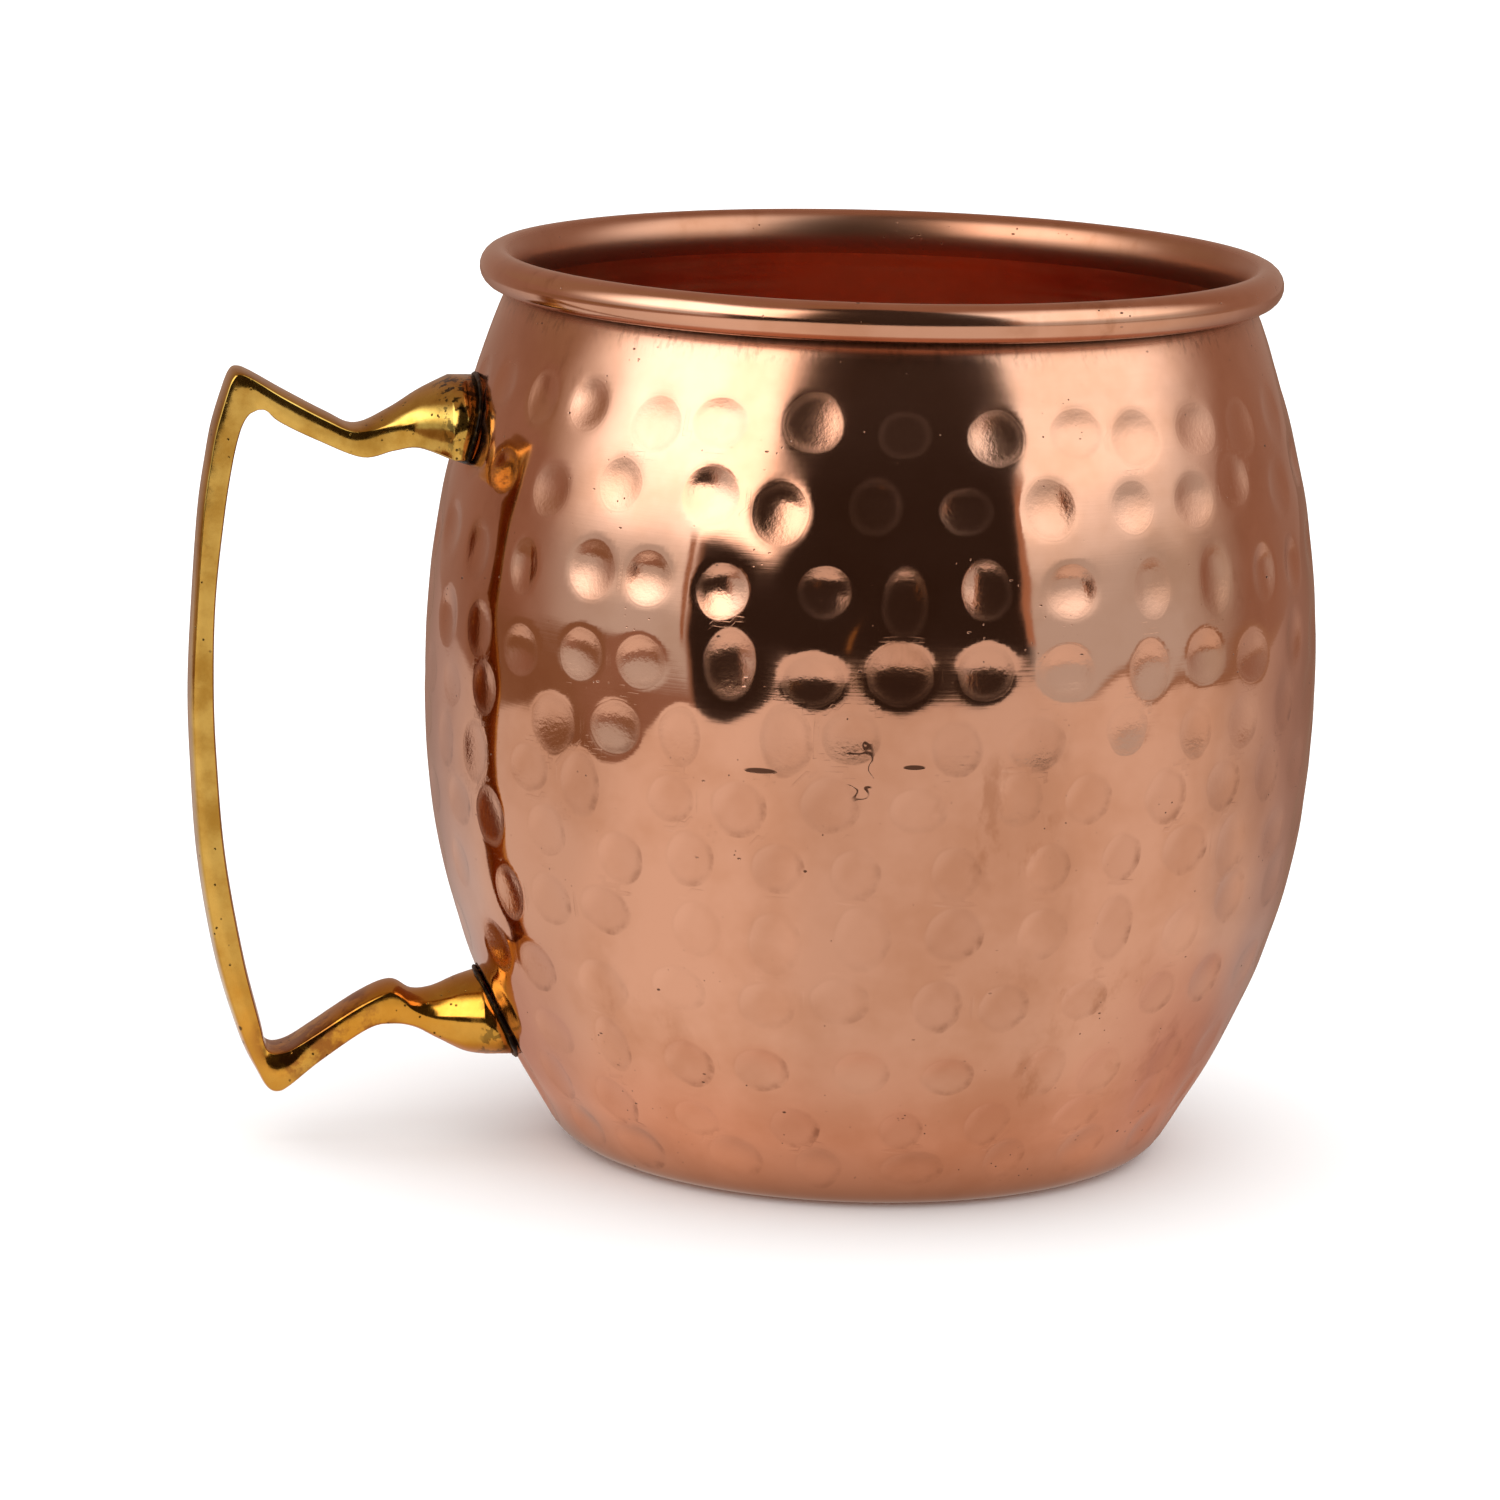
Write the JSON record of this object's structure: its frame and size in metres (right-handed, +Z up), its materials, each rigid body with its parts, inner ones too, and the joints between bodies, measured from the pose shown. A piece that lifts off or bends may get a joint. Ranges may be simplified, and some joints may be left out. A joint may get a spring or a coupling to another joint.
{
  "type": "copper mug",
  "caption": "Barrel-shaped drinking mug of hammered copper sheet with a rim rolled over a wire and an angular cast brass handle brazed to its side.",
  "frame": {"origin": "middle of the flat base, on the plane the mug stands on", "axes": "+Z up along the mug's axis to the open mouth, -X from the axis towards the handle, +Y to complete a right-handed frame"},
  "size_m": [0.1198, 0.0948, 0.095],
  "materials": {
    "copper_body": "polished copper, hammered with shallow round dimples",
    "steel_wire": "drawn, hidden inside the rolled rim",
    "brass_handle": "cast and polished, with small pits and heat stains",
    "braze": "dark, oxidised"
  },
  "bodies": {
    "root": {"mug_body": "copper_body", "rim_wire": "steel_wire", "handle": "brass_handle", "upper_braze_joint": "braze", "lower_braze_joint": "braze"}
  },
  "joints": []
}
